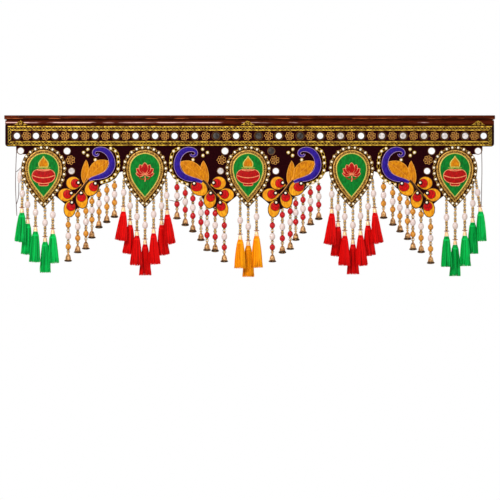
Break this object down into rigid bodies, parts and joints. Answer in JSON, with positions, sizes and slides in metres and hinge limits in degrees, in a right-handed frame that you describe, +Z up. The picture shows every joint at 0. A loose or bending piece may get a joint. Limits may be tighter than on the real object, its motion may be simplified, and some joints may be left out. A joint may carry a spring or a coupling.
{
  "type": "toran door hanging on a wooden rail",
  "caption": "Velvet door hanging with mirrors, embroidered drops and peacocks, beads, bells and silk tassels, on a moulded wooden rail fixed to the wall above a door.",
  "frame": {"origin": "middle of the rail's flat back face, which lies on the wall", "axes": "+X along the rail to the right as seen from the front, +Y into the wall, +Z up"},
  "size_m": [1.0064, 0.0362, 0.3317],
  "materials": {
    "wood": "reddish brown varnish",
    "velvet": "dark maroon velvet",
    "gold_thread": "gold metal thread embroidery",
    "medallion_cloth": "green satin with gold braid",
    "peacock_cloth": "violet, orange and red padded satin",
    "bead_gold": "gold-coloured beads and caps",
    "bell_brass": "polished brass bells with glass and pearl beads",
    "silk_green": "green silk thread",
    "silk_red": "red silk thread",
    "silk_orange": "orange silk thread"
  },
  "bodies": {
    "root": {"rail": "wood", "heading_band": "velvet", "pelmet_cloth": "velvet", "hanging_tab_1": "gold_thread", "hanging_tab_2": "gold_thread", "hanging_tab_3": "gold_thread", "medallion_1": "medallion_cloth", "tassel_strings_1": "bead_gold", "tassel_1_1": "silk_green", "tassel_1_2": "silk_green", "tassel_1_3": "silk_green", "tassel_1_4": "silk_green", "tassel_1_5": "silk_green", "medallion_2": "medallion_cloth", "tassel_strings_2": "bead_gold", "tassel_2_1": "silk_red", "tassel_2_2": "silk_red", "tassel_2_3": "silk_red", "tassel_2_4": "silk_red", "tassel_2_5": "silk_red", "tassel_2_6": "silk_red", "tassel_2_7": "silk_red", "medallion_3": "medallion_cloth", "tassel_strings_3": "bead_gold", "tassel_3_1": "silk_orange", "tassel_3_2": "silk_orange", "tassel_3_3": "silk_orange", "medallion_4": "medallion_cloth", "tassel_strings_4": "bead_gold", "tassel_4_1": "silk_red", "tassel_4_2": "silk_red", "tassel_4_3": "silk_red", "tassel_4_4": "silk_red", "tassel_4_5": "silk_red", "tassel_4_6": "silk_red", "tassel_4_7": "silk_red", "medallion_5": "medallion_cloth", "tassel_strings_5": "bead_gold", "tassel_5_1": "silk_green", "tassel_5_2": "silk_green", "tassel_5_3": "silk_green", "tassel_5_4": "silk_green", "tassel_5_5": "silk_green", "peacock_1": "peacock_cloth", "bell_fringe_1": "bell_brass", "peacock_2": "peacock_cloth", "bell_fringe_2": "bell_brass", "peacock_3": "peacock_cloth", "bell_fringe_3": "bell_brass", "peacock_4": "peacock_cloth", "bell_fringe_4": "bell_brass"}
  },
  "joints": []
}
